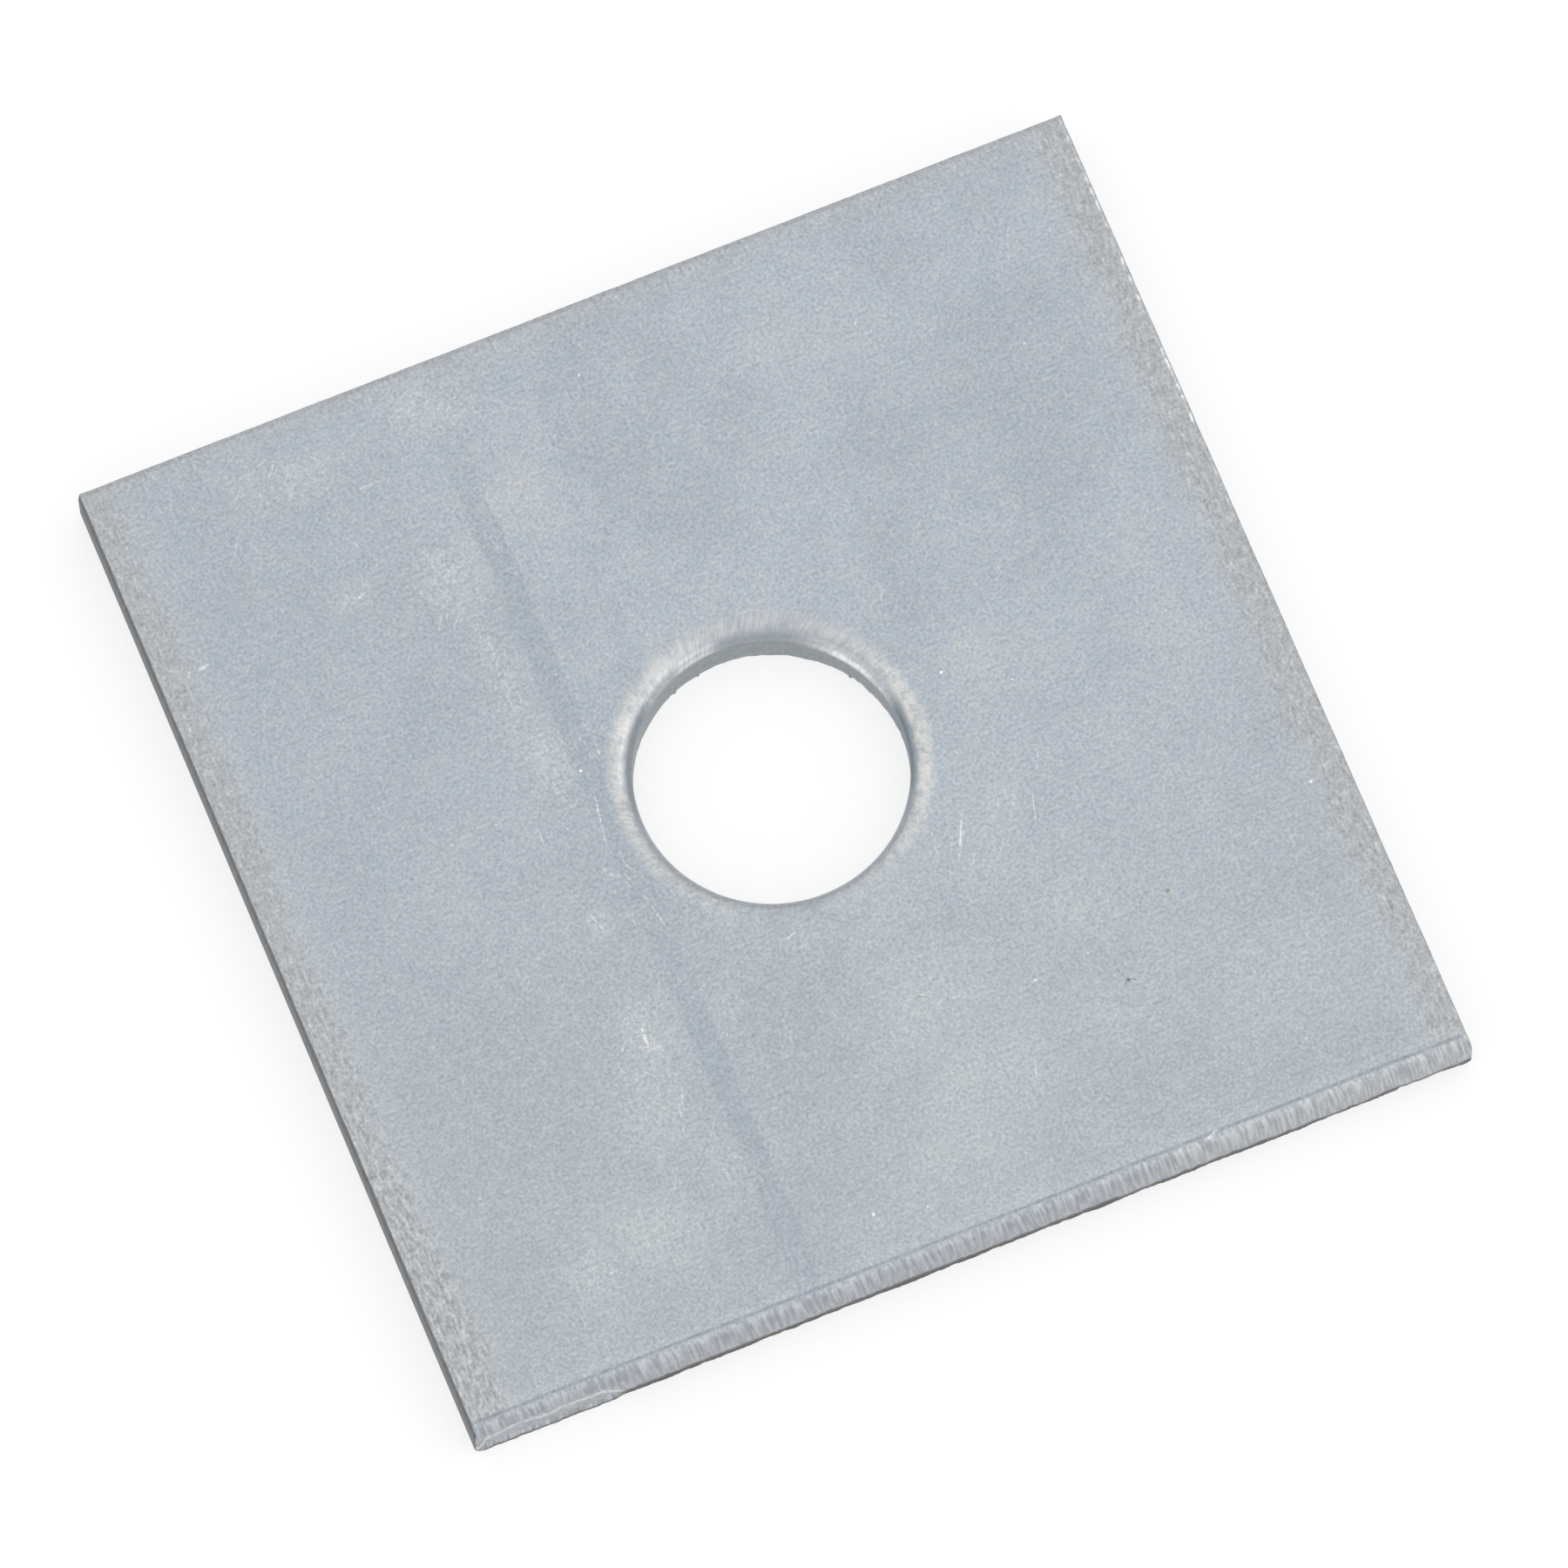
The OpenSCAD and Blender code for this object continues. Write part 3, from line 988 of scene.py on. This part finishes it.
class Plating(Tree):
    """The plating's shader nodes: places, masks and noises that its layers share, and the colour so far."""

    def __init__(self, owner):
        super().__init__(owner)
        self.at = self.scaled(self.add("ShaderNodeTexCoord").outputs["Object"], 1 / MM)
        self.x, self.y, z = self.add("ShaderNodeSeparateXYZ", self.at).outputs
        self.on_top = self.step(z, THICK - 0.3, THICK - 0.1)
        self.to_side = self.math("SUBTRACT", HALF, self.most(self.x, self.product(-1.0, self.x)))
        self.masks = {name: self.attribute(name, "Fac") for name in MASKS}
        flow = self.attribute("flow", "Vector")
        self.grain = self.noise(self.at, 6.0, 2, 0.6)
        self.cloud = self.noise(self.at, 0.16, 4, 0.6)
        self.crumbs = self.noise(self.at, 2.2, 3, 0.65)
        self.scrapes = self.noise(self.at, 4.2, 3, 0.65)
        self.streak = self.noise(flow, 1.0, 3, 0.62)
        self.shown = ZINC_DULL

    def attribute(self, name, output):
        return self.add("ShaderNodeAttribute", attribute_name=name).outputs[output]

    def lay(self, tone, *factors):
        """Lays a colour over those so far, as strongly as the product of its factors."""
        self.shown = self.blend(self.product(*factors), self.shown, tone)


def field_layer(tree):
    """The top face: clouded, and duller toward the left and the front right."""
    x, y, cloud, crumbs = tree.x, tree.y, tree.cloud, tree.crumbs
    tree.lay(ZINC, tree.step(cloud, 0.38, 0.6))
    tree.lay(ZINC_PALE, 0.7, tree.step(cloud, 0.58, 0.74))
    tree.lay(ZINC_DULL, tree.step(x, -2.0, -22.0, 0.0, 0.55))
    tree.lay(ZINC_DULL, tree.step(tree.math("SUBTRACT", x, y), 12.0, 38.0, 0.0, 0.25))

    # Warmer toward the front left and in small specks
    toward_front = tree.product(tree.step(y, 6.0, -20.0), tree.step(x, 14.0, -14.0, 0.08, 0.16))
    tree.lay(ZINC_WARM, tree.total(toward_front, tree.step(crumbs, 0.5, 0.72, 0.0, 0.4)))

    # The pressed band, which is a little duller, and scuffs, which fine scrapes break up
    tree.lay(PRESSED, tree.masks["pressed"], tree.step(crumbs, 0.7, 0.45, 0.7, 1.0))
    tree.lay(SCUFF_AND_HIGHLIGHT, 0.9, tree.masks["scuff"], tree.step(tree.scrapes, 0.34, 0.7))


def edge_zones(tree):
    """Uneven distance from the slit edges, and how rough the top face is along them and the rear edge."""
    ragged = tree.total(
        tree.product(2.4, tree.from_half(tree.cloud)),
        tree.product(1.2, tree.from_half(tree.crumbs)),
    )
    beside = tree.total(tree.to_side, ragged)
    to_rear = tree.total(tree.math("SUBTRACT", HALF, tree.y), ragged)
    along_side = tree.step(beside, 2.1, 1.2)
    along_rear = tree.product(0.5, tree.step(to_rear, 1.6, 0.3))
    return beside, tree.product(tree.most(along_side, along_rear), tree.on_top)


def edge_layer(tree, beside, rough_edge):
    """Rough warm zones along the edges, pale lines inside them, and a painted highlight behind the crease."""
    x, y, streak = tree.x, tree.y, tree.streak
    tree.lay(ZINC_PALE, 0.22, tree.step(beside, 1.3, 1.8), tree.step(beside, 2.8, 2.1), tree.on_top)
    tone = tree.blend(tree.step(streak, 0.56, 0.3), EDGE_WARM, EDGE_DARK)
    tone = tree.blend(tree.step(streak, 0.54, 0.72), tone, SCUFF_AND_HIGHLIGHT)
    tone = tree.blend(tree.step(x, 0.0, -20.0, 0.0, 0.08), tone, EDGE_DARK)
    front_left = tree.product(0.5, tree.step(y, 2.0, -14.0), tree.step(x, 0.0, -20.0))
    tone = tree.blend(tree.product(front_left, tree.step(streak, 0.48, 0.36)), tone, EDGE_DEEP)
    tone = tree.blend(tree.product(front_left, tree.step(streak, 0.5, 0.62)), tone, SCUFF_AND_HIGHLIGHT)
    tree.lay(tone, 0.85, rough_edge)
    to_front = tree.total(y, HALF)
    # Painted highlight just behind the crease
    tree.lay(SCUFF_AND_HIGHLIGHT, 0.13, tree.step(to_front, 0.62, 0.74), tree.step(to_front, 1.3, 0.8), tree.on_top)


def front_layer(tree):
    """The front edge's roll and land, with upright furrows that are paler at the right, and painted shade in
    the crease.
    """
    masks, streak = tree.masks, tree.streak
    tone = tree.blend(tree.step(streak, 0.55, 0.35), CUT, CUT_DARK)
    tone = tree.blend(tree.step(streak, 0.52, 0.74), tone, SCUFF_AND_HIGHLIGHT)
    land_tone = tree.blend(tree.step(streak, 0.62, 0.4), FRONT_LAND, FRONT_LAND_DARK)
    tone = tree.blend(masks["land"], tone, land_tone)
    pale_strokes = tree.product(tree.step(tree.x, 5.0, 14.0), tree.step(streak, 0.44, 0.64, 0.14, 0.52))
    tree.lay(tree.blend(pale_strokes, tone, SCUFF_AND_HIGHLIGHT), masks["front_roll"])
    tree.lay(CREASE_SHADE, 0.75, masks["crease"])


def hole_layer(tree):
    """The hole's roll, its polished ring, its land and the painted shade in it."""
    masks, streak = tree.masks, tree.streak
    tree.lay(tree.blend(tree.step(streak, 0.62, 0.36), RIM, RIM_DARK), 0.8, masks["hole_roll"])
    tree.lay(RIM_SHADE, masks["rim_shade"])
    crumbled = tree.step(tree.crumbs, 0.34, 0.6, 0.4, 1.0)
    tree.lay(BURNISHED, masks["burnish"], crumbled, tree.step(streak, 0.3, 0.6, 0.7, 1.0))
    tree.lay(BORE_LAND, 0.9, masks["land"], tree.step(tree.length(tree.at), *BORE_REACH))
    tree.lay(RIM_DEEP_SHADE, masks["rim_deep"])


def wall_layer(tree):
    """Slit walls, painted shade on the left one, painted highlights in the hole, dark fractures, and painted
    shade lines and glints at sharp edges.
    """
    masks, streak = tree.masks, tree.streak
    in_stroke = tree.step(streak, 0.66, 0.34)
    right_tone = tree.blend(in_stroke, SLIT_WALL, SLIT_DARK)
    left_shade_tone = tree.blend(in_stroke, LEFT_WALL_SHADE, LEFT_WALL_DEEP_SHADE)
    at_left = tree.step(tree.x, *(reach - HALF for reach in LEFT_SHADE_REACH))
    # Slit walls, with painted shade on the left one
    tree.lay(tree.blend(at_left, right_tone, left_shade_tone), masks["slit"])
    # Painted highlights in the hole
    tree.lay(PAINTED_HIGHLIGHT, masks["gleam"], tree.step(streak, 0.3, 0.58, 0.5, 1.0))
    # Fractures: their own rough tone with painted shade
    facet_tone = tree.blend(tree.step(streak, 0.62, 0.38), FACET, FACET_DARK)
    broken_tone = tree.blend(masks["facet"], FRACTURE_TONE_AND_SHADE, facet_tone)
    torn = tree.total(masks["fracture"], tree.product(0.6, tree.from_half(streak)))
    tree.lay(broken_tone, 0.95, masks["fracture"], tree.step(torn, 0.25, 0.6))
    # Painted shade lines along sharp edges and under the hole's roll
    tree.lay(SHADE_LINE, masks["line"])
    # Painted glints along the right edge
    tree.lay(BRIGHT_MARK_AND_GLINT, masks["arris"])


def mark_layer(tree):
    """Scratches, flecks and hairs, and the grain as a small change of tone."""
    masks = tree.masks
    tree.lay(BRIGHT_MARK_AND_GLINT, masks["bright"], tree.step(tree.grain, 0.3, 0.5, 0.5, 1.0))
    tree.lay(DARK, masks["dark"])
    tree.lay(BROWN, masks["brown"])

    # There is less grain where the metal was drawn or polished
    worked = tree.most(masks["front_roll"], masks["hole_roll"], masks["burnish"])
    grained = tree.total(1.0, tree.product(-0.6, worked))
    crumbled = tree.product(CRUMB_TONE, tree.from_half(tree.crumbs))
    tone = tree.total(1.0, tree.product(grained, tree.from_half(tree.grain)), crumbled)
    tree.shown = tree.blend(1.0, tree.shown, tree.scaled((1, 1, 1), tone), "MULTIPLY")


def relief(tree):
    """Bumps of the grain, the streaks and the fractures, with their height in millimetres."""
    streaked = tree.total(
        tree.product(SLIT_STREAK_D, tree.step(tree.to_side, 2.2, 1.2)),
        tree.product(FRONT_STREAK_D, tree.masks["front_roll"]),
        tree.product(HOLE_STREAK_D, tree.masks["hole_roll"]),
        tree.product(BREAK_STREAK_D, tree.masks["fracture"]),
    )
    bump = tree.add("ShaderNodeBump")
    bump.inputs["Strength"].default_value = 1.0
    bump.inputs["Distance"].default_value = MM
    height = tree.total(tree.product(GRAIN_D, tree.grain), tree.product(tree.streak, streaked))
    tree.put(bump.inputs["Height"], height)
    return bump.outputs[0]


def make_zinc():
    """Matte zinc plating: fine grain and clouding, and its changes at the edges, the hole and the marks."""
    material = bpy.data.materials.new("zinc_plating")
    tree = Plating(material)
    beside, rough_edge = edge_zones(tree)
    field_layer(tree)
    edge_layer(tree, beside, rough_edge)
    for layer in (front_layer, hole_layer, wall_layer, mark_layer):
        layer(tree)
    dull = tree.total(
        ROUGHNESS,
        tree.product(0.16, tree.grain),
        tree.product(0.08, rough_edge),
        tree.product(0.12, tree.masks["fracture"]),
    )
    polished = tree.total(tree.product(0.12, tree.masks["bright"]), tree.product(0.2, tree.masks["gleam"]))
    shader = tree.add("ShaderNodeBsdfPrincipled")
    shader.inputs["Metallic"].default_value = METALLIC
    tree.put(shader.inputs["Base Color"], tree.shown)
    tree.put(shader.inputs["Roughness"], tree.math("SUBTRACT", dull, polished))
    tree.put(shader.inputs["Normal"], relief(tree))
    tree.add("ShaderNodeOutputMaterial", shader.outputs[0])
    return material


# White floor in metres, with the distances from its centre over which it fades into the surround, and studio
# light. The softboxes face the origin: name, place, size and radiance
WHITE = (1.0, 1.0, 1.0, 1.0)
FLOOR_R = 1.2
FLOOR_GAP = 0.02 * MM
FLOOR_GREY = (0.33, 0.33, 0.33, 1.0)
FLOOR_LIFT = 0.72
FLOOR_FADE = (0.05, 0.25)
SURROUND = 0.85
SOFTBOXES = (("overhead", (0.1, -0.05, 0.9), 1.2, 0.2), ("front_right", (0.9, -1.1, 0.9), 1.0, 0.5))


def shows_white(tree):
    """1 where the camera sees the surround, directly, mirrored or through glass, and 0 for diffuse light."""
    path = tree.add("ShaderNodeLightPath")
    return tree.most(*(path.outputs[f"Is {kind} Ray"] for kind in ("Camera", "Glossy", "Transmission")))


def make_floor():
    """A grey floor that is shown as white, fading into the surround and keeping the plate's soft shadow."""
    place = (0, 0, -FLOOR_GAP)
    bpy.ops.mesh.primitive_circle_add(vertices=96, radius=FLOOR_R, fill_type="NGON", location=place)
    floor = bpy.context.object
    floor.name = "floor"
    material = bpy.data.materials.new("floor_white")
    tree = Tree(material)
    shown = shows_white(tree)
    paint = tree.add("ShaderNodeBsdfDiffuse", FLOOR_GREY)
    lift = tree.add("ShaderNodeEmission", WHITE, tree.product(FLOOR_LIFT, shown))
    lifted = tree.add("ShaderNodeAddShader", paint.outputs[0], lift.outputs[0])
    white = tree.add("ShaderNodeEmission", WHITE)
    distance = tree.length(tree.add("ShaderNodeTexCoord").outputs["Object"])
    far = tree.product(shown, tree.step(distance, *FLOOR_FADE))
    mix = tree.add("ShaderNodeMixShader", far, lifted.outputs[0], white.outputs[0])
    tree.add("ShaderNodeOutputMaterial", mix.outputs[0])
    floor.data.materials.append(material)


def softbox(name, place, size, radiance):
    """A square area light whose face has a given radiance."""
    data = bpy.data.lights.new(name, "AREA")
    data.shape = "SQUARE"
    data.size = size
    data.energy = radiance * math.pi * size * size
    light = bpy.data.objects.new(name, data)
    light.location = place
    light.rotation_euler = (-Vector(place)).to_track_quat("-Z", "Y").to_euler()
    bpy.context.scene.collection.objects.link(light)


def make_light():
    """A broad softbox overhead, one to the front right, and a surround that shows white."""
    for name, place, size, radiance in SOFTBOXES:
        softbox(name, place, size, radiance)
    world = bpy.data.worlds.new("studio")
    bpy.context.scene.world = world
    tree = Tree(world)
    background = tree.add("ShaderNodeBackground", WHITE, tree.most(SURROUND, shows_white(tree)))
    tree.add("ShaderNodeOutputWorld", background.outputs[0])


# Camera of the photograph: azimuth, elevation and roll in degrees, distance, target and sensor width in
# millimetres, and focal length and picture width in pixels
CAMERA_AZIMUTH = -20.141
CAMERA_ELEVATION = 71.137
CAMERA_ROLL = -2.170
CAMERA_DISTANCE = 911.9
CAMERA_TARGET = (0.574, -0.061, 0.0)
SENSOR = 36.0
FOCAL_PIXELS = 22353.0
PHOTO_PIXELS = 1800.0


def make_camera():
    """The photograph's camera: it looks at its target from its distance, turned by its roll."""
    data = bpy.data.cameras.new("camera")
    data.sensor_width = SENSOR
    data.lens = SENSOR * FOCAL_PIXELS / PHOTO_PIXELS
    azimuth, elevation, roll = (math.radians(a) for a in (CAMERA_AZIMUTH, CAMERA_ELEVATION, CAMERA_ROLL))
    back = Vector((
        math.sin(azimuth) * math.cos(elevation),
        -math.cos(azimuth) * math.cos(elevation),
        math.sin(elevation),
    ))
    level = Vector((math.cos(azimuth), math.sin(azimuth), 0))
    upright = back.cross(level)
    right = math.cos(roll) * level + math.sin(roll) * upright
    up = math.cos(roll) * upright - math.sin(roll) * level
    camera = bpy.data.objects.new("camera", data)
    turned = Matrix((right, up, back)).transposed().to_4x4()
    place = (Vector(CAMERA_TARGET) + back * CAMERA_DISTANCE) * MM
    camera.matrix_world = Matrix.Translation(place) @ turned
    bpy.context.scene.collection.objects.link(camera)
    bpy.context.scene.camera = camera


make_camera()
plate = make_plate()
plate.data.materials.append(make_zinc())
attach(plate, "root")
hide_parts("plate_washer")
make_floor()
make_light()
bpy.context.scene.view_settings.view_transform = "Standard"
